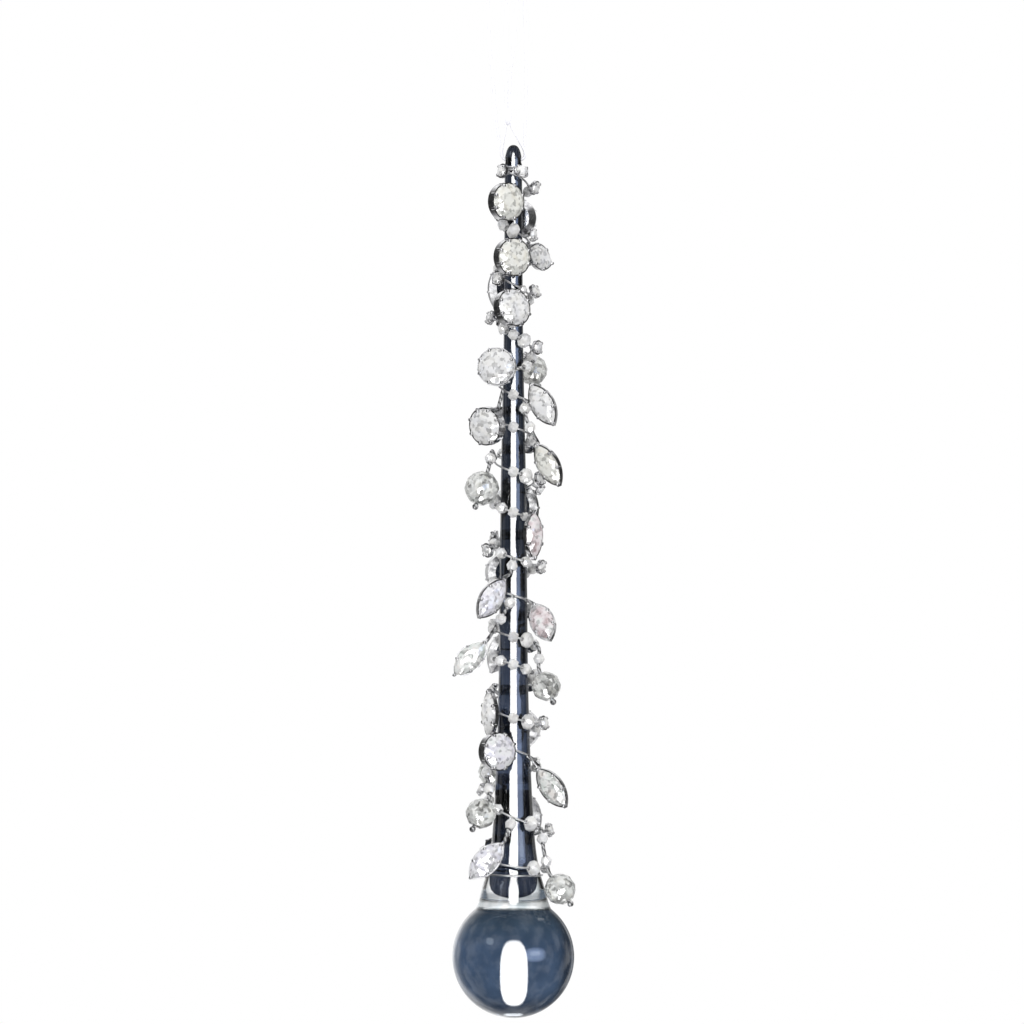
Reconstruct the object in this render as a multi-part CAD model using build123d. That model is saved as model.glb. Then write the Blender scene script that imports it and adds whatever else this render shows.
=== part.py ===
from build123d import *
import math
import os

# A glass icicle with a wired crystal garland wound round it, hung on two thread loops.
# Millimetres.  +Z is up and the viewer of the front stands at -Y, with +X to the right.
# The origin is where a hook carries the loops, so everything hangs below it.
# "Height" is always measured up from the lowest point of the glass ball.

# ---- driving dimensions -------------------------------------------------------------------
GLASS_LENGTH = 200.0
BALL_RADIUS = 14.0
LOOP_RISE = 46.0                 # from the glass tip to the hook
HOLE_HEIGHT = 196.3              # cross hole for the threads, along X
HOLE_RADIUS = 0.9
NECK_HEIGHT = 25.05              # where the ball ends and the rod flares out of it
NECK_RADIUS = math.sqrt(BALL_RADIUS ** 2 - (NECK_HEIGHT - BALL_RADIUS) ** 2)
TIP_HEIGHT = 195.6               # where the rod ends and its rounded tip begins
# rod radius at a height, from the neck up to the tip
ROD_PROFILE = [(NECK_HEIGHT, NECK_RADIUS), (27.0, 7.9), (30.5, 6.95), (34.0, 5.95),
               (40.0, 5.05), (52.0, 4.25), (75.0, 3.45), (96.0, 3.2), (123.0, 2.9),
               (138.0, 2.6), (155.0, 2.25), (TIP_HEIGHT, 2.0)]

THREAD = 0.6                     # thread diameter
THREAD_SIDE = 0.32               # the two loops lie side by side, this far from the middle

WIRE = 0.45                      # garland wire diameter
STEM = 0.8                       # a stem is two wires twisted together
PIN = 0.84                       # head pin through a crystal ball
BORE = 1.0                       # bore of every bead
STAND_OFF = 1.5                  # wire centre to glass, because the beads rest on the glass
GRIP_OFF = 0.26                  # the same where the wire's ends grip the rod
SWELL = 0.55                     # extra stand-off under a large bead
LAST_BEAD = 15.3                 # turn after which the wire closes in on the rod
# height of the wire after a number of turns; whole numbers are at the front of the rod
WIRE_TURNS = [(-2.4, 195.0), (-0.4, 193.9), (0, 193.4), (1, 180.1), (2, 167.9), (3, 156.5),
              (4, 142.5), (5, 135.4), (6, 125.1), (7, 115.9), (8, 105.4), (9, 96.9),
              (10, 87.3), (11, 81.3), (12, 68.7), (13, 61.9), (13.8, 50.0), (14, 46.0),
              (14.3, 42.4), (15, 34.9), (15.6, 33.2), (16.8, 32.3)]
TURN_STEPS = 10                  # straight runs of the wire in one turn

SEED = (2.8, 2.15)               # seed bead: diameter, length
SMALL_SEED = (2.2, 1.6)          # for the places where a full seed bead has no room
CLEAR = (3.7, 2.6)               # large clear bead
OVAL = (2.5, 3.1)                # oval bead
BARE_TURNS = [(1.95, 2.05), (5.85, 5.95), (8.95, 9.05), (9.85, 9.95), (12.95, 13.05),
              (14.95, 15.05)]
CLEAR_TURNS = [1.0, 3.1, 6.1, 8.1, 10.1, 12.1, 14.1, 15.1]
OVAL_TURNS = [0.3, 5.3, 8.3, 13.3]
STEM_PITCH = 2.3                 # seed beads on a stem are this far apart
STEM_MARGIN = 0.5                # and this far from the ends of its straight run

ROUND_GIRDLE = 4.05              # radius of a large round stone
SMALL_GIRDLE = 1.35              # radius of a small round stone
NAVETTE_HALF = (2.6, 5.15)       # half width and half length of a navette stone
ROUND_CUT = (1.2, 0.25, 2.3)     # crown, girdle and pavilion heights of a stone
SMALL_CUT = (0.55, 0.12, 0.9)
NAVETTE_CUT = (1.0, 0.22, 1.65)
CUP_WALL = 0.35
CUP_DEPTH = 0.76                 # of a round cup below the girdle, in girdle radii
BOAT_DEPTH = 1.95                # of a navette cup below the girdle
# balls that fill a navette's cup, to keep beads out of it: distance up its long axis, radius
BOAT_ROOM = [(-4.9, 1.4), (-3.0, 2.4), (0.0, 2.6), (3.0, 2.4), (4.9, 1.4)]
PIN_HEAD = 1.44
STANDING = (Align.CENTER, Align.CENTER, Align.MIN)

# ---- jewels of the garland ----------------------------------------------------------------
# A spot is: across (+X), out (towards the front), height; then the way the table faces, in
# degrees round to the right and up; then how far the lower end leans to the right.  After it come
# the wire's turn where the stem starts and the points that the stem passes on its way.
ROUND_JEWELS = [
    ((-1.0, 7.7, 186.6, 35, 0, 0), 0.8, []),
    ((0.3, 7.7, 174.0, 32, 0, 0), 1.8, []),
    ((0.3, 7.7, 162.6, 34, 10, 0), 2.8, []),
    ((-4.0, 6.2, 149.1, -12, 5, 0), 3.3, [(4.6, 1.2, 149.8), (1.6, 4.3, 148.7), (-1.9, 2.9, 148.6)]),
    ((-6.6, 5.6, 135.4, -36, -8, 0), 3.9, [(-3.2, 3.6, 140.6)]),
    ((-3.1, 9.9, 61.4, 32, 0, 0), 12.9, []),
    ((1.2, -7.5, 183.5, 172, 0, 0), 0.5, []),
    ((-2.4, -8.4, 102.0, 200, 0, 0), 8.6, []),
    ((2.2, -9.3, 66.0, 160, 0, 0), 12.4, []),
]
NAVETTE_JEWELS = [
    ((6.3, -0.9, 174.4, 60, 0, 75), 1.2, []),
    ((6.5, 5.5, 140.4, -26, 0, 32), 4.2, []),
    ((7.7, 5.8, 126.6, -34, -8, 30), 4.1, [(2.9, 5.2, 137.2), (4.7, 4.9, 133.4)]),
    ((4.9, 6.8, 110.6, 48, 0, 0), 7.2, []),
    ((-4.7, 7.2, 96.2, 26, 0, -37), 8.0, [(-0.6, 6.2, 101.8)]),
    ((6.5, 7.4, 91.0, -25, 30, 33), 9.1, []),
    ((-10.0, 4.8, 82.4, -5, 0, -43), 9.0, [(-1.7, 5.9, 93.4), (-4.0, 5.6, 89.6)]),
    ((-5.7, 5.2, 69.8, -58, 0, 0), 11.7, []),
    ((8.6, 5.4, 52.9, -28, -6, 38), 13.1, []),
    ((-6.2, 8.5, 36.4, -10, 0, -43), 14.0, [(-1.3, 7.6, 43.2)]),
    ((-3.2, -6.0, 168.0, 205, 0, 12), 1.6, []),
    ((3.2, -6.8, 118.0, 150, 0, -20), 6.4, []),
    ((-3.0, -7.2, 84.0, 200, 0, 25), 9.6, []),
    ((3.6, -8.4, 47.0, 155, 0, -25), 13.4, []),
]
# diameter; centre; how the pin's lower end leans to the right and to the front; turn; stem points
CRYSTAL_BALLS = [
    (8.0, (-7.2, 4.8, 121.3), -19, 8, 5.7, [(-4.9, 1.9, 130.2)]),
    (6.8, (7.5, 4.8, 76.1), 24, 8, 10.2, [(6.0, 3.6, 84.6)]),
    (7.0, (-7.4, 8.3, 47.2), -28, 8, 12.8, [(-6.4, 2.6, 57.8)]),
    (7.2, (10.7, 4.8, 29.8), 35, 12, 14.2, [(6.9, 4.6, 38.8)]),
    (7.0, (4.4, -7.2, 148.6), 20, -10, 3.4, []),
    (7.0, (-4.6, -8.6, 56.0), -20, -10, 12.6, []),
]
# small round stones stand straight out from the wire: turn; facing right, up; distance out
SMALL_JEWELS = [
    (-0.05, -55, 10, 2.2), (0.07, 20, 40, 2.2), (0.2, 60, -20, 2.2), (1.1, 65, 10, 2.6),
    (2.2, 60, 25, 2.1), (1.9, -45, 5, 2.2), (2.7, -65, 15, 2.2), (3.2, 55, -5, 2.2),
    (6.2, 55, 10, 2.2), (6.3, 88, -35, 2.4), (8.2, 60, -10, 2.2), (7.8, -50, -10, 2.3),
    (7.6, -110, 15, 2.2), (11.6, -95, 40, 2.6), (12.2, 60, 10, 2.2), (13.7, -95, 25, 2.2),
    (14.3, 75, 15, 2.4), (1.4, 150, 0, 2.2), (4.6, 215, 10, 2.2), (5.4, 140, -10, 2.2),
    (9.4, 145, 0, 2.2), (11.4, 150, 0, 2.2), (14.6, 215, 0, 2.2), (10.4, 150, 10, 2.2),
]

# ---- thread routes: across, height ---------------------------------------------------------
OUTER_ROUTE = [(-0.05, 196.3), (-1.6, 196.3), (-2.75, 197.3), (-2.85, 199.6), (-3.8, 203.8),
               (-4.35, 211.0), (-5.45, 223.0), (-5.95, 234.0), (-5.3, 240.4), (-3.7, 244.4),
               (-1.2, 246.3), (1.2, 246.3), (2.9, 244.6), (3.1, 241.2), (2.45, 234.6),
               (2.9, 222.6), (3.0, 211.0), (2.65, 204.0), (2.6, 199.8), (2.75, 197.3),
               (1.6, 196.3), (0.05, 196.3)]
INNER_ROUTE = [(-0.05, 196.3), (-1.6, 196.3), (-2.75, 197.3), (-2.45, 200.4), (-1.65, 204.2),
               (-1.6, 209.0), (-1.75, 215.6), (-2.0, 223.0), (-1.45, 232.6), (-2.0, 241.2),
               (-2.1, 244.7), (-1.0, 246.3), (1.0, 246.3), (2.1, 244.7), (1.7, 241.0),
               (0.85, 232.8), (0.1, 222.6), (-0.8, 215.2), (-0.9, 209.0), (-0.75, 204.6),
               (1.2, 201.3), (2.6, 198.6), (2.75, 197.3), (1.6, 196.3), (0.05, 196.3)]
KNOT_CENTRE = (-1.24, 206.4)
KNOT_RADIUS = 0.85
KNOT_STRETCH = 2.3

HOOK_DROP = GLASS_LENGTH + LOOP_RISE
os.makedirs("parts", exist_ok=True)


# ---- frame helpers -------------------------------------------------------------------------
def place(across, out, height):
    """A point from its distance across, out to the front and up from the ball's lowest point."""
    return Vector(across, -out, height - HOOK_DROP)


def between(table, x):
    """Straight-line value between the entries of a short two-column table."""
    for (x0, y0), (x1, y1) in zip(table, table[1:]):
        if x <= x1:
            return y0 + (y1 - y0) * max(0.0, (x - x0) / (x1 - x0))
    return table[-1][1]


def rod_radius(height):
    return between(ROD_PROFILE, height)


def stand_off(turn):
    """Wire centre to glass: close at the two gripping ends, wider under each large bead."""
    first, last = WIRE_TURNS[1][0], WIRE_TURNS[-2][0]
    if turn <= first or turn >= last:
        return GRIP_OFF
    off = between([(first, GRIP_OFF), (0, STAND_OFF), (LAST_BEAD, STAND_OFF), (last, GRIP_OFF)], turn)
    nearest = min(abs(turn - clear) for clear in CLEAR_TURNS)
    return off + SWELL * max(0.0, 1 - nearest / 0.3)


def wire_corner(turn):
    """A corner of the wire's route; the runs between corners are what keeps the stand-off."""
    height = between(WIRE_TURNS, turn)
    radius = (rod_radius(height) + stand_off(turn)) / math.cos(math.pi / TURN_STEPS)
    angle = 2 * math.pi * turn
    return place(radius * math.sin(angle), radius * math.cos(angle), height)


def wire_run(turn):
    """Middle and direction of the wire's straight run round a turn."""
    before, after = wire_corner(turn - 0.5 / TURN_STEPS), wire_corner(turn + 0.5 / TURN_STEPS)
    return (before + after) * 0.5, (after - before).normalized()


def clears_glass(centre, radius):
    """Whether a ball of that radius stays outside the glass rod."""
    height = centre.Z + HOOK_DROP
    return math.hypot(centre.X, centre.Y) > rod_radius(height) + radius + 0.05


def facing(right, up):
    """Direction that a table faces, turned right and up from the front."""
    a, b = math.radians(right), math.radians(up)
    return Vector(math.sin(a) * math.cos(b), -math.cos(a) * math.cos(b), math.sin(b))


def jewel_plane(across, out, height, right, up, lean):
    """Plane of a jewel: z is its table's direction and y its long axis, upper end first."""
    normal = facing(right, up)
    rise = Vector(0, 0, 1) - normal * normal.Z
    rise = rise.normalized()
    sideways = rise.cross(normal)
    a = math.radians(lean)
    long_axis = rise * math.cos(a) - sideways * math.sin(a)
    return Plane(origin=place(across, out, height), x_dir=long_axis.cross(normal), z_dir=normal)


# ---- shape helpers -------------------------------------------------------------------------
def corner_radii(points, longest=math.inf):
    """Largest tangent arcs that a route's straight runs leave room for."""
    radii = []
    for a, b, c in zip(points, points[1:], points[2:]):
        into, out = b - a, c - b
        half_turn = math.radians(into.get_angle(out)) / 2
        radii.append(min(longest, 0.45 * min(into.length, out.length)) / math.tan(half_turn))
    return radii


def tube(points, diameter, longest=math.inf):
    """Round tube along straight runs joined by tangent arcs."""
    path = FilletPolyline(*points, radius=corner_radii(points, longest))
    start = Plane(origin=path @ 0, z_dir=path % 0)
    return sweep(start * Circle(diameter / 2), path=path), path.length


def facet(*corners):
    return Face(Wire.make_polygon(corners, close=True))


def ring_around(outline, scale, z):
    return [Vector(x * scale, y * scale, z) for x, y in outline]


def cut_stone(outline, crown, girdle, pavilion, table=0.58, middle=0.82):
    """Brilliant-cut stone on a closed outline of 16 points; its girdle's top is at z = 0."""
    count = len(outline)
    half = count // 2
    top = ring_around(outline[::2], table, crown)
    mid = ring_around(outline[1::2], middle, 0.58 * crown)
    upper = ring_around(outline, 1.0, 0.0)
    lower = ring_around(outline, 1.0, -girdle)
    culet = Vector(0, 0, -pavilion)
    faces = [facet(*top)]
    for i in range(half):
        after, before = (i + 1) % half, (i - 1) % half
        g0, g1, g2 = upper[2 * i], upper[2 * i + 1], upper[(2 * i + 2) % count]
        faces += [facet(top[i], mid[i], top[after]), facet(top[i], mid[before], g0),
                  facet(top[i], g0, mid[i]), facet(mid[i], g0, g1), facet(mid[i], g1, g2)]
    for i in range(count):
        j = (i + 1) % count
        faces += [facet(upper[i], lower[i], lower[j], upper[j]), facet(lower[i], culet, lower[j])]
    return Solid(Shell(faces))


def cut_bead(diameter, length, rows, sides, end=0.62):
    """Faceted bead about z, with triangular facets in staggered rows and a bore."""
    rings = []
    for row in range(rows + 1):
        z = -length / 2 + length * row / rows
        swell = math.sqrt(max(0.0, 1 - (2 * z / length) ** 2 * (1 - end ** 2)))
        turn = 180 / sides * (row % 2)
        rings.append([Vector(diameter / 2 * swell, 0, z).rotate(Axis.Z, turn + 360 / sides * i)
                      for i in range(sides)])
    faces = [facet(*rings[0]), facet(*rings[-1])]
    for row, (below, above) in enumerate(zip(rings, rings[1:])):
        shift = row % 2
        for i in range(sides):
            j = (i + 1) % sides
            k = (i + shift) % sides
            faces += [facet(below[i], below[j], above[k]),
                      facet(above[k], above[(k + 1) % sides], below[j])]
    bore = Cylinder(BORE / 2, 2 * length)
    return Solid(Shell(faces)) - bore


def circle_points(radius, count=16):
    steps = [2 * math.pi * i / count for i in range(count)]
    return [(radius * math.cos(a), radius * math.sin(a)) for a in steps]


def vesica_points(half_width, half_length, count=16):
    """Navette outline of two equal arcs, from the upper tip round; the tips are on y."""
    radius = (half_width ** 2 + half_length ** 2) / (2 * half_width)
    reach = math.asin(half_length / radius)
    half = count // 2
    right = []
    for i in range(half):
        a = reach - 2 * reach * i / half
        right.append((radius * math.cos(a) - radius + half_width, radius * math.sin(a)))
    return right + [(-x, -y) for x, y in right]


def vesica_face(half_width, half_length, z):
    """The navette outline as a flat face of two true arcs."""
    tip, side = Vector(0, half_length, z), Vector(half_width, 0, z)
    right = ThreePointArc(tip, side, -tip + Vector(0, 0, 2 * z))
    left = ThreePointArc(-tip + Vector(0, 0, 2 * z), Vector(-half_width, 0, z), tip)
    return Face(Wire([right, left]))


def prong(x, y, radius, low, high):
    """One claw: a post beside the stone, bent in over its crown with a rounded end."""
    post = Pos(x, y, (low + high) / 2) * Cylinder(radius, high - low)
    inward = 1 - 0.9 * radius / math.hypot(x, y)
    return post + Pos(x * inward, y * inward, high) * Sphere(1.25 * radius)


def round_setting(girdle, prongs, prong_radius, stone):
    """Round cup with claws, hollow under the stone."""
    outer, rim, base = girdle + CUP_WALL, -0.1, -CUP_DEPTH * girdle
    floor = base + 0.22
    outline = Polyline((0, base), (0.72 * girdle, base), (outer, 0.68 * base), (outer, rim),
                       (girdle + 0.1, rim), (girdle + 0.1, -0.4), (0.25 * girdle, floor),
                       (0, floor), (0, base))
    cup = revolve(Plane.XZ * make_face(outline), Axis.Z)
    for i in range(prongs):
        a = math.radians(360 * (i + 0.5) / prongs)
        reach = outer - 0.5 * prong_radius
        cup += prong(reach * math.cos(a), reach * math.sin(a), prong_radius, 0.35 * base, 0.2)
    return cup - scale(stone, by=1.01)


def navette_setting(stone):
    """Boat-shaped cup with six claws, hollow under the stone."""
    half_width, half_length = NAVETTE_HALF
    wall_foot = -0.5 * BOAT_DEPTH
    top = vesica_face(half_width + CUP_WALL, half_length + 1.5 * CUP_WALL, -0.1)
    knuckle = vesica_face(half_width + CUP_WALL, half_length + 1.5 * CUP_WALL, wall_foot)
    bottom = vesica_face(0.6 * half_width, 0.65 * half_length, -BOAT_DEPTH)
    hollow_top = vesica_face(half_width + 0.08, half_length + 0.12, -0.05)
    hollow_bottom = vesica_face(0.35 * half_width, 0.4 * half_length, 0.2 - BOAT_DEPTH)
    cup = loft([top, knuckle], ruled=True) + loft([knuckle, bottom], ruled=True)
    cup -= loft([hollow_top, hollow_bottom], ruled=True)
    claws = [(0, half_length + 0.25), (0, -half_length - 0.25)]
    claws += [(sx * (0.84 * half_width + 0.2), sy * 0.4 * half_length) for sx in (1, -1) for sy in (1, -1)]
    for x, y in claws:
        cup += prong(x, y, 0.34, -0.7, 0.2)
    return cup - scale(stone, by=1.01)


def write(node, *solids):
    """One STEP file for a node; several solids make a group."""
    shape = solids[0] if len(solids) == 1 else Compound(children=list(solids))
    export_step(shape, f"parts/{node}.step")


# ---- the glass -----------------------------------------------------------------------------
def glass_icicle():
    """Solid glass: a ball, a flared neck, a tapering rod and a rounded tip with a cross hole."""
    rise = math.degrees(math.asin((NECK_HEIGHT - BALL_RADIUS) / BALL_RADIUS))
    ball = CenterArc((0, BALL_RADIUS), BALL_RADIUS, -90, 90 + rise)
    flare_and_rod = Spline(*[(radius, height) for height, radius in ROD_PROFILE])
    tip = Spline((ROD_PROFILE[-1][1], TIP_HEIGHT), (1.75, 198.2), (0, GLASS_LENGTH),
                 tangents=[(0, 1), (-1, 0)])
    profile = make_face([ball, flare_and_rod, tip, Line((0, GLASS_LENGTH), (0, 0))])
    body = revolve(Plane.XZ * profile, Axis.Z)
    hole = Pos(0, 0, HOLE_HEIGHT) * Rot(0, 90, 0) * Cylinder(HOLE_RADIUS, 4 * HOLE_RADIUS + 6)
    return Pos(0, 0, -HOOK_DROP) * (body - hole)


# ---- the threads ---------------------------------------------------------------------------
def thread_loop(node, route, side):
    points = [place(across, side, height) for across, height in route]
    solid, length = tube(points, THREAD)
    write(node, solid)
    section = math.pi * THREAD ** 2 / 4
    print(f"{node}: length {length:.1f}, volume {solid.volume:.2f} against {section * length:.2f}")
    print("   radii", " ".join(f"{radius:.2f}" for radius in corner_radii(points)))
    turns = [(b - a).get_angle(c - b) for a, b, c in zip(points, points[1:], points[2:])]
    print("   turns", " ".join(f"{turn:.0f}" for turn in turns))


def cord_knot():
    across, height = KNOT_CENTRE
    knot = scale(Sphere(KNOT_RADIUS), by=(1, 1, KNOT_STRETCH))
    return Pos(*place(across, THREAD_SIDE, height)) * knot


# ---- the garland ---------------------------------------------------------------------------
def wire_corners():
    first, last = WIRE_TURNS[0][0], WIRE_TURNS[-1][0]
    steps = round((last - first) * TURN_STEPS)
    return [wire_corner(first + (i + 0.5) / TURN_STEPS) for i in range(steps)]


class Room:
    """Space that is already taken, as balls, so that beads go only where there is room."""

    def __init__(self):
        self.balls = []

    def take(self, centre, radius):
        self.balls.append((centre, radius))

    def take_route(self, route, radius, step=0.5):
        for start, end in zip(route, route[1:]):
            count = max(1, math.ceil((end - start).length / step))
            for i in range(count + 1):
                self.take(start + (end - start) * (i / count), radius)

    def is_free(self, centre, radius):
        return all((centre - ball).length > reach + radius for ball, reach in self.balls)


def stem_from(turn, passing, anchor, approach):
    """Route of a stem: from the wire, past some points, then up to a jewel along its own way in."""
    return [wire_run(turn)[0], *[place(*point) for point in passing], anchor + approach, anchor]


def round_jewels(room):
    """Large round stones in claw cups; each stem ends at the back of its cup."""
    stone = cut_stone(circle_points(ROUND_GIRDLE), *ROUND_CUT)
    setting = round_setting(ROUND_GIRDLE, 8, 0.36, stone)
    settings, stems = [], []
    for number, (spot, turn, passing) in enumerate(ROUND_JEWELS, 1):
        plane = jewel_plane(*spot)
        write(f"round_stone_{number}", plane.location * stone)
        settings.append(plane.location * setting)
        back = plane.origin - plane.z_dir * (CUP_DEPTH * ROUND_GIRDLE - 0.1)
        stems.append(stem_from(turn, passing, back, plane.z_dir * -0.8))
        room.take(plane.origin, ROUND_GIRDLE + 0.5)
        room.take(plane.origin - plane.z_dir * 1.5, ROUND_GIRDLE)
    write("round_settings", *settings)
    return stems


def navette_jewels(room):
    """Navette stones in boat-shaped cups; each stem ends at the upper tip of its cup."""
    stone = cut_stone(vesica_points(*NAVETTE_HALF), *NAVETTE_CUT)
    setting = navette_setting(stone)
    settings, stems = [], []
    for number, (spot, turn, passing) in enumerate(NAVETTE_JEWELS, 1):
        plane = jewel_plane(*spot)
        write(f"navette_stone_{number}", plane.location * stone)
        settings.append(plane.location * setting)
        up = plane.y_dir
        tip = plane.origin + up * (NAVETTE_HALF[1] - 0.1) - plane.z_dir * 0.95
        stems.append(stem_from(turn, passing, tip, (up - plane.z_dir * 0.5) * 0.9))
        for shift, reach in BOAT_ROOM:
            room.take(plane.origin + up * shift - plane.z_dir * 0.5, reach)
    write("navette_settings", *settings)
    return stems


def small_jewels(room):
    """Small round stones in four-claw cups on short stalks straight out from the wire."""
    stone = cut_stone(circle_points(SMALL_GIRDLE), *SMALL_CUT)
    setting = round_setting(SMALL_GIRDLE, 4, 0.26, stone)
    stones, settings, stalks = [], [], []
    for turn, right, up, reach in SMALL_JEWELS:
        root, direction = wire_run(turn)[0], facing(right, up)
        plane = Plane(origin=root + direction * reach, z_dir=direction)
        stones.append(plane.location * stone)
        settings.append(plane.location * setting)
        back = reach - CUP_DEPTH * SMALL_GIRDLE + 0.1
        stalks.append(Plane(origin=root, z_dir=direction) * Cylinder(STEM / 2, back, align=STANDING))
        room.take(plane.origin - direction * 0.3, SMALL_GIRDLE + 0.4)
        room.take_route([root, root + direction * back], STEM / 2)
    write("small_stones", *stones)
    write("small_settings", *settings)
    return stalks


def crystal_balls(room):
    """Faceted balls that spin on head pins; a pin's upper end is a stem from the wire."""
    pins, routes = [], []
    for number, (diameter, spot, lean, front, turn, passing) in enumerate(CRYSTAL_BALLS, 1):
        a, b = math.radians(lean), math.radians(front)
        down = Vector(math.sin(a), -math.sin(b), -math.cos(a) * math.cos(b)).normalized()
        centre, half = place(*spot), 0.46 * diameter
        ball = cut_bead(diameter, 2 * half, 6, 10, end=0.4)
        write(f"crystal_ball_{number}", Plane(origin=centre, z_dir=down).location * ball)
        foot = centre + down * (half + 0.5)
        route = stem_from(turn, passing, foot, down * -(2 * half + 1.8))
        pins.append(tube(route, PIN, longest=0.9)[0] + Pos(*(foot + down * 0.3)) * Sphere(PIN_HEAD / 2))
        room.take(centre, diameter / 2 + 0.1)
        routes.append(route[:-1])
        print(f"crystal_ball_{number}: centre {tuple(round(v, 4) for v in centre)}",
              f"axis {tuple(round(v, 4) for v in down)}")
    write("head_pins", *pins)
    return routes


def thread_bead(bead, centre, direction):
    return Plane(origin=centre, z_dir=direction).location * bead


def wire_beads(room, node, size, turns, bead):
    """Beads threaded on the wire at those turns where nothing is in the way."""
    beads = []
    for turn in turns:
        centre, direction = wire_run(turn)
        bare = any(low <= turn <= high for low, high in BARE_TURNS)
        if not bare and room.is_free(centre, 0.47 * size[0]):
            beads.append((centre, direction))
    for centre, direction in beads:
        room.take(centre, 0.5 * size[1])
    write(node, *[thread_bead(bead, *spot) for spot in beads])
    print(f"{node}: {len(beads)} beads")


def stem_beads(room, stems, bead):
    """Seed beads along the straight runs of the stems, as many as fit beside the wire."""
    beads, wire = [], Room()
    wire.take_route(wire_corners(), WIRE / 2)
    for route in stems:
        for start, end in zip(route, route[1:]):
            run = end - start
            count = math.floor((run.length - 2 * STEM_MARGIN) / STEM_PITCH)
            for i in range(count):
                along = run.length / 2 + STEM_PITCH * (i - (count - 1) / 2)
                centre = start + run.normalized() * along
                reach = SEED[0] / 2
                free = room.is_free(centre, reach) and wire.is_free(centre, reach)
                if free and clears_glass(centre, reach):
                    beads.append(thread_bead(bead, centre, run))
                    room.take(centre, reach)
    write("stem_beads", *beads)
    print(f"stem_beads: {len(beads)} beads")


def main():
    write("glass_icicle", glass_icicle())
    thread_loop("hanging_cord_outer", OUTER_ROUTE, -THREAD_SIDE)
    thread_loop("hanging_cord_inner", INNER_ROUTE, THREAD_SIDE)
    write("cord_knot", cord_knot())
    write("garland_wire", tube(wire_corners(), WIRE)[0])

    room = Room()
    stems = round_jewels(room) + navette_jewels(room)
    stalks = small_jewels(room)
    pins = crystal_balls(room)
    write("jewel_stems", *[tube(route, STEM, longest=0.9)[0] for route in stems])
    write("small_stalks", *stalks)

    seed = cut_bead(*SEED, 2, 8, end=0.6)
    stem_beads(room, [route[:-1] for route in stems] + pins, seed)
    for route in stems + pins:
        room.take_route(route, PIN / 2)
    wire_beads(room, "clear_beads", CLEAR, CLEAR_TURNS, cut_bead(*CLEAR, 4, 8, end=0.5))
    wire_beads(room, "oval_beads", OVAL, OVAL_TURNS, cut_bead(*OVAL, 4, 8, end=0.45))
    for node, first, last in (("upper_seed_beads", 0.1, 5), ("middle_seed_beads", 5, 10),
                              ("lower_seed_beads", 10, 15.3)):
        turns = [i / TURN_STEPS for i in range(round(first * TURN_STEPS), round(last * TURN_STEPS))]
        wire_beads(room, node, SEED, turns, seed)
    every = [i / TURN_STEPS for i in range(round(LAST_BEAD * TURN_STEPS) + 1)]
    wire_beads(room, "small_seed_beads", SMALL_SEED, every, cut_bead(*SMALL_SEED, 2, 8, end=0.6))


main()
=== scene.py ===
import bpy
import bmesh
import math
from mathutils import Matrix, Vector


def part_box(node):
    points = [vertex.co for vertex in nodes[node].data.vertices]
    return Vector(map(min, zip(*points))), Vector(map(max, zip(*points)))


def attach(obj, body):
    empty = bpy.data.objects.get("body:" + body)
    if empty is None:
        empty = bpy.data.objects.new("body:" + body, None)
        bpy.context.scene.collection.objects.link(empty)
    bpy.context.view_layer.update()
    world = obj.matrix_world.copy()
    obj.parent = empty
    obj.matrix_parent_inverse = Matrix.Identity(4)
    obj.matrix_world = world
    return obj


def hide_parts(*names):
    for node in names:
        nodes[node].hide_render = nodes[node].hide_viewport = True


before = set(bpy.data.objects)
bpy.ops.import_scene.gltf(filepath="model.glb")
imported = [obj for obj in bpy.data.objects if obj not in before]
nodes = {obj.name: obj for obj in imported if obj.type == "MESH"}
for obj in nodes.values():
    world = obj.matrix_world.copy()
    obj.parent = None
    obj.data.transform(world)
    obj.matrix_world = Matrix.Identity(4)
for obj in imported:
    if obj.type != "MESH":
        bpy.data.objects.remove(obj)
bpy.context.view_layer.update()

MM = 0.001
WHITE = (1, 1, 1)
GLASS_LOW, GLASS_HIGH = (Vector(corner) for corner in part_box("glass_icicle"))
HOOK_DROP = -GLASS_LOW.z / MM    # from the hook down to the ball's lowest point, mm


def place(across, out, height):
    """A point in metres, from mm across, out to the front and up from the ball's lowest point."""
    return Vector((across, -out, height - HOOK_DROP)) * MM


# ---- camera --------------------------------------------------------------------------------
VIEW_HEIGHT = 234.6              # mm of the object that the picture is tall
VIEW_CENTRE = 115.9              # height at its middle, mm
VIEW_ACROSS = -0.3               # how far to the right of the rod its middle is, mm
CAMERA_DISTANCE = 1400           # mm
SENSOR = 36                      # width, mm


def add_camera():
    data = bpy.data.cameras.new("camera")
    data.sensor_width = SENSOR
    data.lens = SENSOR * CAMERA_DISTANCE / VIEW_HEIGHT
    data.clip_start = 0.05
    data.clip_end = 30
    camera = bpy.data.objects.new("camera", data)
    camera.location = place(VIEW_ACROSS, CAMERA_DISTANCE, VIEW_CENTRE)
    camera.rotation_euler = (math.pi / 2, 0, 0)
    bpy.context.scene.collection.objects.link(camera)
    bpy.context.scene.camera = camera


# ---- node helpers --------------------------------------------------------------------------
def grey(value):
    return (value, value, value)


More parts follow.
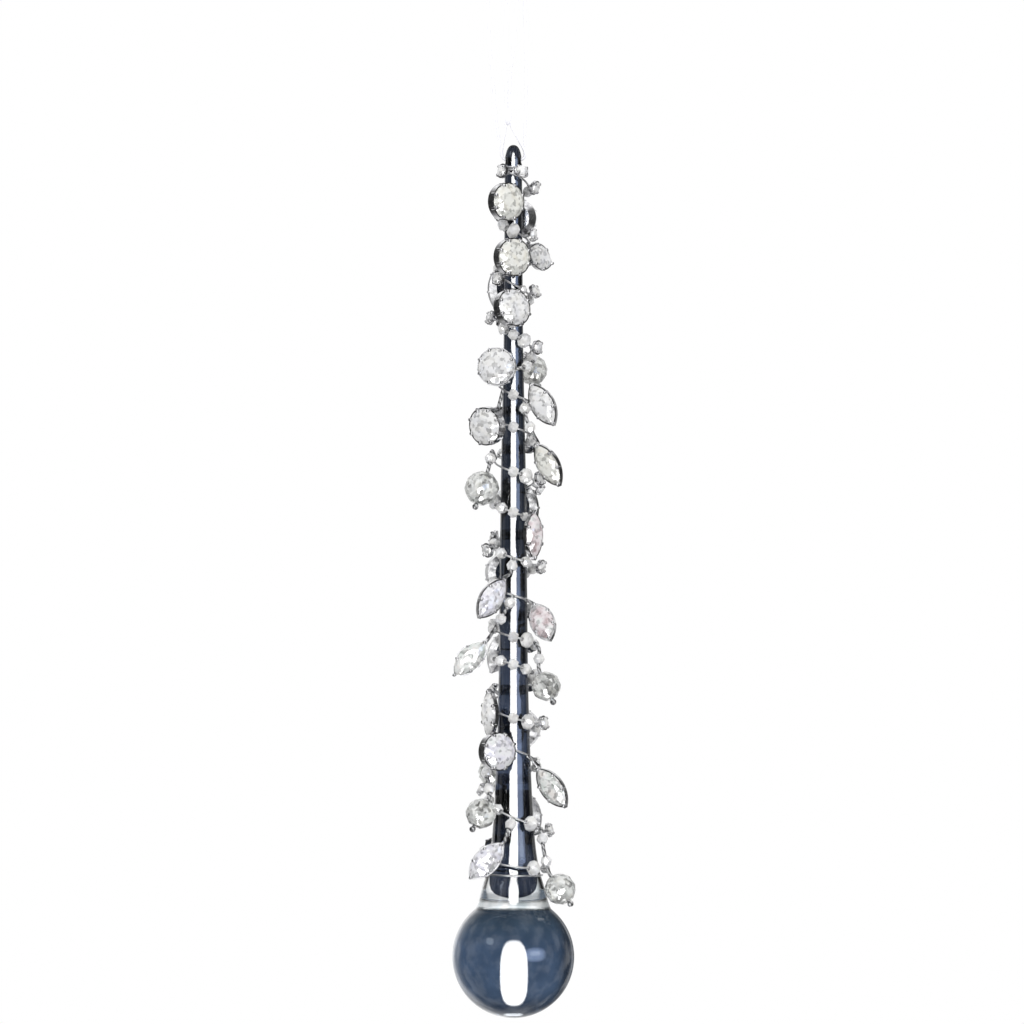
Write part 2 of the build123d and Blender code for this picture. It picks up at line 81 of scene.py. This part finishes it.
class Nodes:
    """A material's node tree with short ways to add and join nodes."""

    def __init__(self, name):
        self.material = bpy.data.materials.new(name)
        self.material.use_nodes = True
        self.tree = self.material.node_tree
        self.shader = self.tree.nodes["Principled BSDF"]

    def add(self, kind, **settings):
        node = self.tree.nodes.new(kind)
        for key, value in settings.items():
            setattr(node, key, value)
        return node

    def set(self, **values):
        for key, value in values.items():
            self.shader.inputs[key.replace("_", " ")].default_value = value

    def link(self, source, target):
        self.tree.links.new(source, target)

    def drive(self, name, source):
        """Lets a socket of the shader follow a texture."""
        self.link(source, self.shader.inputs[name])

    def position(self):
        """Where a point is on the object, in metres."""
        return self.add("ShaderNodeTexCoord").outputs["Object"]

    def texture(self, kind, **inputs):
        node = self.add(kind)
        for key, value in inputs.items():
            node.inputs[key].default_value = value
        self.link(self.position(), node.inputs["Vector"])
        return node

    def noise(self, scale, detail):
        return self.texture("ShaderNodeTexNoise", Scale=scale, Detail=detail).outputs["Fac"]

    def cells(self, scale):
        """Small flat patches, each with its own shade, like the facets of cut crystal; the shades are
        painted facet reflections.
        """
        return self.texture("ShaderNodeTexVoronoi", Scale=scale)

    def ramp(self, source, stops):
        """A colour that follows a value, through (value, colour) stops."""
        ramp = self.add("ShaderNodeValToRGB")
        elements = ramp.color_ramp.elements
        while len(elements) < len(stops):
            elements.new(0.5)
        for element, (position, color) in zip(elements, stops):
            element.position = position
            element.color = (*color, 1)
        self.link(source, ramp.inputs["Fac"])
        return ramp.outputs["Color"]

    def multiply(self, first, second):
        node = self.add("ShaderNodeMix", data_type="RGBA", blend_type="MULTIPLY")
        node.inputs["Factor"].default_value = 1.0
        self.link(first, node.inputs["A"])
        self.link(second, node.inputs["B"])
        return node.outputs["Result"]

    def spread(self, source, low, high, start=0.0, end=1.0, **settings):
        """Goes from low to high while the source goes from start to end."""
        node = self.add("ShaderNodeMapRange", **settings)
        for key, value in (("From Min", start), ("From Max", end), ("To Min", low), ("To Max", high)):
            node.inputs[key].default_value = value
        self.link(source, node.inputs["Value"])
        return node.outputs["Result"]

    def bump(self, height, strength, distance):
        bump = self.add("ShaderNodeBump")
        bump.inputs["Strength"].default_value = strength
        bump.inputs["Distance"].default_value = distance
        self.link(height, bump.inputs["Height"])
        self.drive("Normal", bump.outputs["Normal"])


# ---- materials -----------------------------------------------------------------------------
# Texture scales are in patches per metre, and bump distances are in metres.
BALL_BLUE = (0.050, 0.084, 0.145)
SHOULDER_BLUE = (0.042, 0.068, 0.092)
CLEAR = (0.80, 0.86, 0.87)
LOW_ROD_BLUE = (0.036, 0.050, 0.084)
ROD_BLUE = (0.019, 0.025, 0.038)
# the glass by height, from 0 at the ball's lowest point to 1 at the tip
GLASS_TINT = [(0.0, BALL_BLUE), (0.085, BALL_BLUE), (0.112, SHOULDER_BLUE),
              (0.1255, SHOULDER_BLUE), (0.1275, CLEAR), (0.185, CLEAR), (0.23, LOW_ROD_BLUE),
              (0.34, LOW_ROD_BLUE), (0.48, ROD_BLUE), (1.0, ROD_BLUE)]
# how clear the glass is by height; the milky band where the flare meets the ball stands in for the
# bright glints there, a painted highlight
GLASS_CLARITY = [(0.0, 1.0), (0.1262, 1.0), (0.1275, 0.45), (0.134, 0.5), (0.137, 1.0), (1.0, 1.0)]
MOTTLE_TINT = [(0.36, (0.74, 0.77, 0.80)), (0.68, (1.45, 1.36, 1.34))]
CORE_TINT = [(0.3, (0.026, 0.034, 0.056)), (0.7, (0.040, 0.050, 0.080))]
THREAD_TINT = [(0.3, (0.70, 0.70, 0.75)), (0.7, (0.86, 0.86, 0.90))]
# painted shade of the twisted stems: dark down in the grooves, light on the ridges
GROOVE_SHADE_TINT = [(0.15, (0.26, 0.26, 0.27)), (0.6, (0.84, 0.84, 0.85))]
# where the glass loses a little of its polish, mm behind its axis, and its roughness there
BACK_START, BACK_END = 0.5, 1.5
BACK_POLISH = 0.02
# plating: its colour where it is bright and where dirt sits, its lowest and highest roughness
CUP_SILVER = ((0.88, 0.88, 0.89), (0.50, 0.50, 0.52), (0.12, 0.24))
WIRE_SILVER = ((0.92, 0.92, 0.93), (0.60, 0.60, 0.62), (0.3, 0.5))
# cut crystal: how cloudy it is, its facets per metre, the shade of the darkest ones; the facet shades
# are painted reflections
CROWN = (0.55, 1500, 0.55)
WHITE_CROWN = (0.85, 1500, 0.55)
CUT_BALL = (0.3, 1100, 0.30)
CUT_BEAD = (0.55, 900, 0.75)
WORN_FACET = 0.14                # roughness of the facets that have lost their polish


def smoky_glass():
    """Solid slate-blue glass, clear where the rod flares out of the ball, with faint mottling, and a
    milky band at the neck that stands in for its glints, a painted highlight.
    """
    m = Nodes("smoky_glass")
    m.set(Transmission_Weight=1.0, IOR=1.5)
    split = m.add("ShaderNodeSeparateXYZ")
    m.link(m.position(), split.inputs[0])
    height = m.spread(split.outputs["Z"], 0.0, 1.0, GLASS_LOW.z, GLASS_HIGH.z)
    mottle = m.ramp(m.noise(260, 3.0), MOTTLE_TINT)
    m.drive("Base Color", m.multiply(m.ramp(height, GLASS_TINT), mottle))
    # the milky band at the neck is a painted highlight standing in for glints
    clarity = m.ramp(height, [(at, grey(value)) for at, value in GLASS_CLARITY])
    m.drive("Transmission Weight", clarity)
    polish = m.spread(split.outputs["Y"], 0.0, BACK_POLISH, BACK_START * MM, BACK_END * MM)
    m.drive("Roughness", polish)
    m.bump(m.noise(90, 2.0), 0.05, 0.0004)
    return m.material


def core_glass():
    """The smoky core of the rod inside the clear flare: it only tints what passes through it."""
    m = Nodes("smoky_core")
    m.set(Transmission_Weight=1.0, IOR=1.0, Roughness=0.0)
    m.drive("Base Color", m.ramp(m.noise(180, 2.0), CORE_TINT))
    return m.material


def thread_material():
    """White thread: fine fibres and a slight variation of tone."""
    m = Nodes("thread")
    m.set(Roughness=0.75, Sheen_Weight=0.3, Sheen_Roughness=0.4)
    fibres = m.noise(5200, 4.0)
    m.drive("Base Color", m.ramp(fibres, THREAD_TINT))
    m.bump(fibres, 0.6, 0.0001)
    return m.material


def silver(name, bright, dark, roughness):
    """Silver plating: small scratches, and darker where dirt sits."""
    m = Nodes(name)
    m.set(Metallic=1.0)
    m.drive("Base Color", m.ramp(m.noise(700, 5.0), [(0.35, dark), (0.6, bright)]))
    fine = m.noise(2600, 3.0)
    m.drive("Roughness", m.spread(fine, *roughness))
    m.bump(fine, 0.15, 0.00006)
    return m.material


def twisted_silver():
    """Two thin wires twisted together: slanting grooves, with painted shade darkening the grooves."""
    m = Nodes("stem_silver")
    m.set(Metallic=1.0)
    wave = m.texture("ShaderNodeTexWave", Scale=420, Distortion=1.5)
    wave.bands_direction = "DIAGONAL"
    grooves = wave.outputs["Fac"]
    # painted shade: the grooves are coloured darker
    m.drive("Base Color", m.ramp(grooves, GROOVE_SHADE_TINT))
    m.drive("Roughness", m.spread(m.noise(2600, 3.0), 0.2, 0.4))
    m.bump(grooves, 0.7, 0.0002)
    return m.material


def crystal(name, tint, cloudy, facet_scale, darkest):
    """Cut crystal: clear, a little cloudy with light, its fine facets each painted a shade of its
    tint as a painted reflection.
    """
    m = Nodes(name)
    m.set(Transmission_Weight=1.0 - cloudy, IOR=1.56)
    facets = m.add("ShaderNodeSeparateColor")
    m.link(m.cells(facet_scale).outputs["Color"], facets.inputs[0])
    # painted reflection: each facet patch is coloured lighter or darker, as if it caught the light or
    # not
    painted_facet_light = m.ramp(facets.outputs["Red"], [(0.12, grey(darkest)), (0.45, WHITE)])
    m.drive("Base Color", m.multiply(m.ramp(m.noise(520, 2.0), tint), painted_facet_light))
    polish = m.ramp(facets.outputs["Green"], [(0.38, grey(0.0)), (0.40, grey(WORN_FACET))])
    m.drive("Roughness", polish)
    return m.material


def foil(name, tint):
    """Silver foil behind a stone, with an iridescent drift round its own tint and facet patches
    painted lighter and darker as painted reflections.
    """
    m = Nodes(name)
    m.set(Metallic=1.0)
    drift = m.noise(620, 2.0)
    facets = m.cells(1000)
    # painted reflection: each facet patch of the foil is coloured lighter or darker
    painted_facet_light = m.ramp(facets.outputs["Color"], [(0.3, grey(0.5)), (0.5, WHITE)])
    m.drive("Base Color", m.multiply(m.ramp(drift, tint), painted_facet_light))
    m.drive("Roughness", m.spread(drift, 0.12, 0.25))
    m.bump(facets.outputs["Distance"], 0.6, 0.0003)
    return m.material


# ---- mesh helpers --------------------------------------------------------------------------
def add_mesh(name, bm, *materials):
    mesh = bpy.data.meshes.new(name)
    bm.to_mesh(mesh)
    bm.free()
    piece = bpy.data.objects.new(name, mesh)
    bpy.context.scene.collection.objects.link(piece)
    for material in materials:
        mesh.materials.append(material)
    return piece


def apply_modifiers(piece):
    """Bakes a piece's modifiers into its mesh."""
    graph = bpy.context.evaluated_depsgraph_get()
    mesh = bpy.data.meshes.new_from_object(piece.evaluated_get(graph))
    old, name = piece.data, piece.data.name
    piece.modifiers.clear()
    piece.data = mesh
    bpy.data.meshes.remove(old)
    mesh.name = name


def shade_smooth(piece):
    for polygon in piece.data.polygons:
        polygon.use_smooth = True


def finish_piece(piece, body, node):
    """Declares what a piece rides on and which CAD node it replaces."""
    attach(piece, body)
    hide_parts(node)


# ---- threads -------------------------------------------------------------------------------
THREAD = 0.6                     # diameter, mm
THREAD_SIDE = 0.32               # of each loop's plane, to the front or back of the rod's axis
# across, height; the third point is where the thread leaves the glass
OUTER_ROUTE = [(-0.05, 196.3), (-1.6, 196.3), (-2.75, 197.3), (-2.85, 199.6), (-3.8, 203.8),
               (-4.35, 211.0), (-5.45, 223.0), (-5.95, 234.0), (-5.3, 240.4), (-3.7, 244.4),
               (-1.2, 246.3), (1.2, 246.3), (2.9, 244.6), (3.1, 241.2), (2.45, 234.6),
               (2.9, 222.6), (3.0, 211.0), (2.65, 204.0), (2.6, 199.8), (2.75, 197.3),
               (1.6, 196.3), (0.05, 196.3)]
INNER_ROUTE = [(-0.05, 196.3), (-1.6, 196.3), (-2.75, 197.3), (-2.45, 200.4), (-1.65, 204.2),
               (-1.6, 209.0), (-1.75, 215.6), (-2.0, 223.0), (-1.45, 232.6), (-2.0, 241.2),
               (-2.1, 244.7), (-1.0, 246.3), (1.0, 246.3), (2.1, 244.7), (1.7, 241.0),
               (0.85, 232.8), (0.1, 222.6), (-0.8, 215.2), (-0.9, 209.0), (-0.75, 204.6),
               (1.2, 201.3), (2.6, 198.6), (2.75, 197.3), (1.6, 196.3), (0.05, 196.3)]
LEAVES_GLASS = 2                 # counting from 0


def thread_loop(name, node, route, side, material):
    """One loop of thread as a smooth curve through the cross hole and over the hook."""
    data = bpy.data.curves.new(name, "CURVE")
    data.dimensions = "3D"
    data.bevel_depth = THREAD * MM / 2
    data.bevel_resolution = 4
    spline = data.splines.new("NURBS")
    spline.points.add(len(route) - 1)
    for point, (across, height) in zip(spline.points, route):
        point.co = (*place(across, side, height), 1)
    spline.order_u = 3
    spline.use_endpoint_u = True
    spline.resolution_u = 12
    data.use_fill_caps = True
    data.materials.append(material)
    loop = bpy.data.objects.new(name, data)
    bpy.context.scene.collection.objects.link(loop)
    finish_piece(loop, "hanging_loops", node)
    across, height = route[LEAVES_GLASS]


def build_threads():
    material = thread_material()
    thread_loop("outer_thread", "hanging_cord_outer", OUTER_ROUTE, -THREAD_SIDE, material)
    thread_loop("inner_thread", "hanging_cord_inner", INNER_ROUTE, THREAD_SIDE, material)
    dress("cord_knot", material)


# ---- glass ---------------------------------------------------------------------------------
# all lengths in mm
BALL_RADIUS = 14.0
NECK_HEIGHT = 25.05
NECK_RADIUS = math.sqrt(BALL_RADIUS ** 2 - (NECK_HEIGHT - BALL_RADIUS) ** 2)
HOLE_HEIGHT = 196.3
HOLE_RADIUS = 0.9
HOLE_SIDES = 48
DRILL_LENGTH = 8                 # longer than the tip is wide
# height, radius
ROD_PROFILE = [(NECK_HEIGHT, NECK_RADIUS), (27.0, 7.9), (30.5, 6.95), (34.0, 5.95),
               (40.0, 5.05), (52.0, 4.25), (75.0, 3.45), (96.0, 3.2), (123.0, 2.9),
               (138.0, 2.6), (155.0, 2.25), (195.6, 2.0)]
CORE_PROFILE = [(27.05, 1.2), (27.35, 2.1), (27.9, 2.9), (28.8, 3.45), (30.0, 3.7),
                (34.0, 3.7), (52.0, 3.3)]
CORE_ENDS = (26.9, 52.4)
LATHE_SIDES = 128
BALL_RINGS = 56
ROD_STEPS = 8                    # rings from one point of the rod's profile to the next
TIP_RINGS = 14
TIP_FULLNESS = 0.8               # 1 for an elliptical tip, less for a blunter one
SHARP_ANGLE = 40                 # degrees between faces whose edge stays sharp, as at the hole's rim


def smooth_profile(points, steps):
    """Points of a smooth curve through the given ones, its slope level with its neighbours'."""
    slopes = []
    for i in range(len(points)):
        x0, y0 = points[max(i - 1, 0)]
        x1, y1 = points[min(i + 1, len(points) - 1)]
        slopes.append((y1 - y0) / (x1 - x0))
    out = []
    for (x0, y0), (x1, y1), m0, m1 in zip(points, points[1:], slopes, slopes[1:]):
        for i in range(steps):
            t, span = i / steps, x1 - x0
            y = ((2 * t ** 3 - 3 * t * t + 1) * y0 + (t ** 3 - 2 * t * t + t) * span * m0
                 + (3 * t * t - 2 * t ** 3) * y1 + (t ** 3 - t * t) * span * m1)
            out.append((x0 + span * t, y))
    return out + [points[-1]]


def glass_profile():
    """(height, radius) from just above the bottom of the ball to just below the tip."""
    top_angle = math.asin((NECK_HEIGHT - BALL_RADIUS) / BALL_RADIUS)
    ball = []
    for i in range(1, BALL_RINGS):
        a = -math.pi / 2 + (top_angle + math.pi / 2) * i / BALL_RINGS
        ball.append((BALL_RADIUS + BALL_RADIUS * math.sin(a), BALL_RADIUS * math.cos(a)))
    low, base = ROD_PROFILE[-1]
    rise = (GLASS_HIGH.z - GLASS_LOW.z) / MM - low
    tip = []
    for i in range(1, TIP_RINGS):
        a = math.pi / 2 * i / TIP_RINGS
        tip.append((low + rise * math.sin(a), base * math.cos(a) ** TIP_FULLNESS))
    return ball + smooth_profile(ROD_PROFILE, ROD_STEPS) + tip


def lathe(name, profile, low, high, material):
    """A turned solid through (height, radius) rings, closed at its lowest and highest point."""
    bm = bmesh.new()
    rings = []
    for height, radius in profile:
        ring = []
        for i in range(LATHE_SIDES):
            a = 2 * math.pi * i / LATHE_SIDES
            ring.append(bm.verts.new(place(radius * math.cos(a), radius * math.sin(a), height)))
        rings.append(ring)
    for below, above in zip(rings, rings[1:]):
        for i in range(LATHE_SIDES):
            j = (i + 1) % LATHE_SIDES
            bm.faces.new((below[i], above[i], above[j], below[j]))
    bottom, top = bm.verts.new(place(0, 0, low)), bm.verts.new(place(0, 0, high))
    for i in range(LATHE_SIDES):
        j = (i + 1) % LATHE_SIDES
        bm.faces.new((bottom, rings[0][i], rings[0][j]))
        bm.faces.new((rings[-1][j], rings[-1][i], top))
    bmesh.ops.recalc_face_normals(bm, faces=bm.faces)
    return add_mesh(name, bm, material)


def drill_hole(glass):
    """Cuts the thread hole across the tip."""
    bm = bmesh.new()
    bmesh.ops.create_cone(bm, cap_ends=True, segments=HOLE_SIDES, radius1=HOLE_RADIUS * MM,
                          radius2=HOLE_RADIUS * MM, depth=DRILL_LENGTH * MM)
    turn = Matrix.Translation(place(0, 0, HOLE_HEIGHT)) @ Matrix.Rotation(math.pi / 2, 4, "Y")
    bmesh.ops.transform(bm, matrix=turn, verts=bm.verts)
    drill = add_mesh("drill", bm)
    cut = glass.modifiers.new("hole", "BOOLEAN")
    cut.operation = "DIFFERENCE"
    cut.solver = "EXACT"
    cut.object = drill
    apply_modifiers(glass)
    bpy.data.objects.remove(drill)


def build_glass():
    tip_height = HOOK_DROP + GLASS_HIGH.z / MM
    glass = lathe("glass_body", glass_profile(), 0, tip_height, smoky_glass())
    drill_hole(glass)
    core = lathe("glass_core", CORE_PROFILE, *CORE_ENDS, core_glass())
    for piece in (glass, core):
        shade_smooth(piece)
        finish_piece(piece, "ornament", "glass_icicle")
    glass.data.set_sharp_from_angle(angle=math.radians(SHARP_ANGLE))


# ---- stones --------------------------------------------------------------------------------
# a crown's and its foil's colours, from one end of the drift to the other
TINTS = {
    "neutral": [(0.3, (0.90, 0.91, 0.94)), (0.5, (0.99, 0.99, 0.99)), (0.7, (0.96, 0.95, 0.92))],
    "olive": [(0.3, (0.92, 0.93, 0.88)), (0.5, (0.98, 0.98, 0.94)), (0.7, (0.90, 0.88, 0.80))],
    "lavender": [(0.3, (0.86, 0.86, 0.97)), (0.5, (0.97, 0.96, 1.0)), (0.7, (0.94, 0.97, 0.96))],
    "rose": [(0.34, (0.62, 0.50, 0.51)), (0.5, (0.93, 0.86, 0.88)), (0.7, (0.92, 0.95, 0.94))],
    "green": [(0.3, (0.76, 0.82, 0.78)), (0.5, (0.97, 0.98, 0.97)), (0.7, (0.98, 0.94, 0.90))],
    "white": [(0.3, (0.98, 0.98, 0.99)), (0.5, (1.0, 1.0, 1.0)), (0.7, (0.99, 0.99, 0.98))],
}
CUT_BALL_TINT = [(0.3, (0.80, 0.83, 0.80)), (0.5, (0.95, 0.96, 0.95)), (0.7, (0.88, 0.88, 0.82))]
# where the front stones with a tint are: across, height
TINTED = {
    "olive": [(0.3, 174.0), (-1.0, 186.6), (7.7, 126.6)],
    "lavender": [(-4.7, 96.2), (-3.1, 61.4), (-6.2, 36.4)],
    "rose": [(4.9, 110.6), (6.5, 91.0)],
    "green": [(-10.0, 82.4), (8.6, 52.9)],
    "white": [(6.3, 174.4)],
}
NEAR_SPOT = 1.5                  # how close to its spot a tinted stone's centre is, mm
STONE_SPREAD = 1.02              # a stone is pressed outwards into its cup
FACING_BACK = -0.05              # cosine to the table's way below which a facet is foil-backed
WELD = 0.002                     # mm between corners that are one


def solids_of(node):
    """A CAD node's surface with its corners joined, and the faces of each of its solids."""
    bm = bmesh.new()
    bm.from_mesh(nodes[node].data)
    bmesh.ops.remove_doubles(bm, verts=bm.verts, dist=WELD * MM)
    seen, groups = set(), []
    for first in bm.faces:
        if first in seen:
            continue
        seen.add(first)
        group, stack = [], [first]
        while stack:
            face = stack.pop()
            group.append(face)
            for edge in face.edges:
                for other in edge.link_faces:
                    if other not in seen:
                        seen.add(other)
                        stack.append(other)
        groups.append(group)
    return bm, groups


def table_way(faces):
    """The way a stone's largest flat faces, which is its table."""
    flats = {}
    for face in faces:
        key = tuple(round(value, 2) for value in face.normal)
        area, normal = flats.get(key, (0.0, Vector()))
        part = face.calc_area()
        flats[key] = (area + part, normal + face.normal * part)
    return max(flats.values(), key=lambda flat: flat[0])[1].normalized()


def tint_at(centre):
    """Name of the tint of the stone at a point."""
    across, height = centre.x / MM, centre.z / MM + HOOK_DROP
    for tint, spots in TINTED.items():
        for x, z in spots:
            if centre.y < 0 and math.hypot(across - x, height - z) < NEAR_SPOT:
                return tint
    return "neutral"


def build_stones(node, crowns, foils):
    """Stones whose crowns are clear crystal and whose pavilions are backed with foil."""
    bm, groups = solids_of(node)
    tints = list(TINTS)
    for group in groups:
        normal = table_way(group)
        corners = list(dict.fromkeys(corner for face in group for corner in face.verts))
        centre = sum((corner.co for corner in corners), Vector()) / len(corners)
        for corner in corners:
            away = corner.co - centre
            level = away - normal * away.dot(normal)
            corner.co += level * (STONE_SPREAD - 1)
        tint = tints.index(tint_at(centre))
        for face in group:
            backed = face.normal.dot(normal) < FACING_BACK
            face.material_index = tint + (len(tints) if backed else 0)
            face.smooth = False
    materials = [crowns[tint] for tint in tints] + [foils[tint] for tint in tints]
    finish_piece(add_mesh(f"cut_{node}", bm, *materials), "ornament", node)


# ---- garland -------------------------------------------------------------------------------
def dress(node, material):
    """Gives a CAD node that stays as it is a better material."""
    mesh = nodes[node].data
    mesh.materials.clear()
    mesh.materials.append(material)


def build_garland():
    crowns = {name: crystal(f"crown_{name}", tint, *(WHITE_CROWN if name == "white" else CROWN))
              for name, tint in TINTS.items()}
    foils = {name: foil(f"foil_{name}", tint) for name, tint in TINTS.items()}
    for node in sorted(nodes):
        if node.startswith(("round_stone", "navette_stone")) or node == "small_stones":
            build_stones(node, crowns, foils)
    cup = silver("cup_silver", *CUP_SILVER)
    wire = silver("wire_silver", *WIRE_SILVER)
    twisted = twisted_silver()
    ball = crystal("ball_crystal", CUT_BALL_TINT, *CUT_BALL)
    bead = crystal("bead_crystal", TINTS["neutral"], *CUT_BEAD)
    for node in nodes:
        if node.endswith("_settings"):
            dress(node, cup)
        elif node in ("garland_wire", "small_stalks"):
            dress(node, wire)
        elif node in ("jewel_stems", "head_pins"):
            dress(node, twisted)
        elif node.startswith("crystal_ball"):
            dress(node, ball)
        elif node.endswith("_beads"):
            dress(node, bead)


# ---- light ---------------------------------------------------------------------------------
# a soft box's reflection on a ball: across, above, half width, half height, soft edge;
# strength; colour
SOFT_BOXES = [
    ((0.01, -0.235, 0.235, 0.56, 0.3), 27, WHITE),
    ((0.35, 0.06, 0.20, 0.13, 1.0), 1.5, (2.3, 2.9, 4.4)),
    ((-0.385, 0.28, 0.07, 0.07, 0.9), 3.0, (0.8, 0.9, 1)),
    ((0.36, 0.08, 0.10, 0.05, 0.9), 3.0, (0.85, 0.92, 1)),
    ((0.0, -0.93, 0.16, 0.03, 0.9), 4.0, (0.9, 0.95, 1)),
]
BOX_POWER = 2.8                  # 2 for a round soft box, more for squarer corners


class World:
    """The studio around the ornament, as a tree that answers by the direction of a ray."""

    def __init__(self):
        world = bpy.data.worlds.new("studio")
        bpy.context.scene.world = world
        world.use_nodes = True
        world.cycles.sampling_method = "NONE"
        self.tree = world.node_tree
        coords = self.tree.nodes.new("ShaderNodeTexCoord")
        split = self.tree.nodes.new("ShaderNodeSeparateXYZ")
        self.direction = coords.outputs["Generated"]
        self.tree.links.new(self.direction, split.inputs[0])
        self.right, self.back, self.up = split.outputs
        half_way = self.math("SQRT", self.times(2, self.math("SUBTRACT", 1.0001, self.back)))
        self.across = self.math("DIVIDE", self.right, half_way)
        self.above = self.math("DIVIDE", self.up, half_way)

    def feed(self, socket, value):
        if isinstance(value, bpy.types.NodeSocket):
            self.tree.links.new(value, socket)
        else:
            socket.default_value = value

    def math(self, operation, *values):
        node = self.tree.nodes.new("ShaderNodeMath")
        node.operation = operation
        for socket, value in zip(node.inputs, values):
            self.feed(socket, value)
        return node.outputs[0]

    def times(self, first, *rest):
        for value in rest:
            first = self.math("MULTIPLY", first, value)
        return first

    def noise(self, scale, detail):
        node = self.tree.nodes.new("ShaderNodeTexNoise")
        node.inputs["Scale"].default_value = scale
        node.inputs["Detail"].default_value = detail
        self.tree.links.new(self.direction, node.inputs["Vector"])
        return node.outputs["Fac"]

    def fade(self, value, low, high, low_value=0.0, high_value=1.0):
        """Goes smoothly from low_value to high_value while value goes from low to high."""
        node = self.tree.nodes.new("ShaderNodeMapRange")
        node.interpolation_type = "SMOOTHSTEP"
        for socket, entry in zip(node.inputs, (value, low, high, low_value, high_value)):
            self.feed(socket, entry)
        return node.outputs["Result"]

    def patch(self, across, above, half_width, half_height, edge):
        """A soft box, by where on a ball facing the front its reflection shows, in ball radii."""
        reach = []
        for spot, middle, half in ((self.across, across, half_width),
                                   (self.above, above, half_height)):
            away = self.math("ABSOLUTE", self.math("SUBTRACT", spot, middle))
            reach.append(self.math("POWER", self.math("DIVIDE", away, half), BOX_POWER))
        return self.fade(self.math("ADD", *reach), 1.0, 1.0 - edge)

    def tint(self, factor, colour):
        node = self.tree.nodes.new("ShaderNodeVectorMath")
        node.operation = "SCALE"
        self.feed(node.inputs[0], colour)
        self.feed(node.inputs["Scale"], factor)
        return node.outputs[0]

    def add(self, first, second):
        node = self.tree.nodes.new("ShaderNodeVectorMath")
        node.operation = "ADD"
        self.feed(node.inputs[0], first)
        self.feed(node.inputs[1], second)
        return node.outputs[0]

    def pick(self, factor, first, second):
        node = self.tree.nodes.new("ShaderNodeMix")
        node.data_type = "RGBA"
        self.feed(node.inputs["Factor"], factor)
        self.feed(node.inputs["A"], first)
        self.feed(node.inputs["B"], second)
        return node.outputs["Result"]


def polished_light(w):
    """What mirror-smooth glass reflects: soft boxes before dim clouds, and a glow behind."""
    light = w.tint(w.fade(w.noise(2.6, 3.0), 0.42, 0.68, 0.04, 0.8), WHITE)
    for where, strength, colour in SOFT_BOXES:
        light = w.add(light, w.tint(w.times(w.patch(*where), strength), colour))
    behind = w.times(w.fade(w.back, 0.3, 0.9), w.fade(w.right, -0.1, 0.4, 1.0, 0.06))
    return w.add(light, w.tint(behind, WHITE))


def brushed_light(w):
    """What metal and worn facets reflect: dark to the sides and below, with glints in front."""
    middle = w.fade(w.math("ABSOLUTE", w.right), 0.35, 0.75, 1.1, 0.04)
    rear = w.fade(w.back, 0.45, 0.85, 0.0, 0.7)
    dull = w.fade(w.back, 0.0, 0.6, 0.35, 0.85)
    bright = w.fade(w.back, 0.0, 0.6, 1.7, 1.0)
    glints = w.fade(w.noise(7.0, 2.0), 0.38, 0.60, dull, bright)
    above_floor = w.fade(w.up, -0.95, -0.2, 0.3, 1.0)
    return w.tint(w.times(w.math("MAXIMUM", middle, rear), glints, above_floor), WHITE)


def light_through(w):
    """What is seen through glass: white, dimmer from below, from above and from the left."""
    below = w.fade(w.up, -0.75, -0.40, 0.5, 0.97)
    above = w.fade(w.up, 0.35, 0.70, 1.0, 0.5)
    left = w.fade(w.right, -0.80, -0.55, 0.25, 1.0)
    return w.tint(w.times(below, above, left), WHITE)


def matt_light(w):
    """What lights matt surfaces: soft, strongest from above and in front."""
    from_above = w.fade(w.up, -0.6, 0.8, 0.45, 1.62)
    from_front = w.fade(w.back, -1.0, 0.6, 1.45, 0.87)
    return w.tint(w.times(from_above, from_front), WHITE)


def build_light():
    """A plain white studio, with a light of its own for each kind of ray."""
    w = World()
    rays = w.tree.nodes.new("ShaderNodeLightPath")
    colour = w.pick(rays.outputs["Is Singular Ray"], brushed_light(w), polished_light(w))
    colour = w.pick(rays.outputs["Is Diffuse Ray"], colour, matt_light(w))
    colour = w.pick(rays.outputs["Is Transmission Ray"], colour, light_through(w))
    colour = w.pick(rays.outputs["Is Camera Ray"], colour, (*WHITE, 1))
    w.tree.links.new(colour, w.tree.nodes["Background"].inputs["Color"])
    bpy.context.scene.view_settings.view_transform = "Standard"


# ---- stage ---------------------------------------------------------------------------------
FLOOR_DROP = 0.6                 # metres from the ball down to the floor
FLOOR_SIZE = 6                   # from its middle to its edge, metres
FLOOR_NEAR, FLOOR_FAR = 2.2, 5.0     # distances between which it brightens to the white around it
# painted light: the floor is grey near its middle and brightens to white far off, like a lit studio
# sweep
FLOOR_PAINTED_LIGHT = [(0.0, (0.60, 0.60, 0.61)), (1.0, (0.92, 0.92, 0.92))]
GRAIN_TINT = [(0.3, grey(0.98)), (0.7, WHITE)]


def build_stage():
    """A pale floor below the hanging ornament, with painted light: grey near its middle, brightening
    to white far off.
    """
    bm = bmesh.new()
    bmesh.ops.create_grid(bm, x_segments=1, y_segments=1, size=FLOOR_SIZE)
    bmesh.ops.translate(bm, verts=bm.verts, vec=(0, 0, GLASS_LOW.z - FLOOR_DROP))
    m = Nodes("floor")
    m.set(Roughness=0.8)
    reach = m.add("ShaderNodeVectorMath", operation="LENGTH")
    m.link(m.position(), reach.inputs[0])
    far = m.spread(reach.outputs["Value"], 0.0, 1.0, FLOOR_NEAR, FLOOR_FAR,
                   interpolation_type="SMOOTHSTEP")
    grain = m.ramp(m.noise(3, 2.0), GRAIN_TINT)
    m.drive("Base Color", m.multiply(m.ramp(far, FLOOR_PAINTED_LIGHT), grain))
    floor = add_mesh("floor", bm, m.material)
    floor.visible_glossy = False
    floor.visible_transmission = False


add_camera()
build_threads()
build_glass()
build_garland()
build_light()
build_stage()
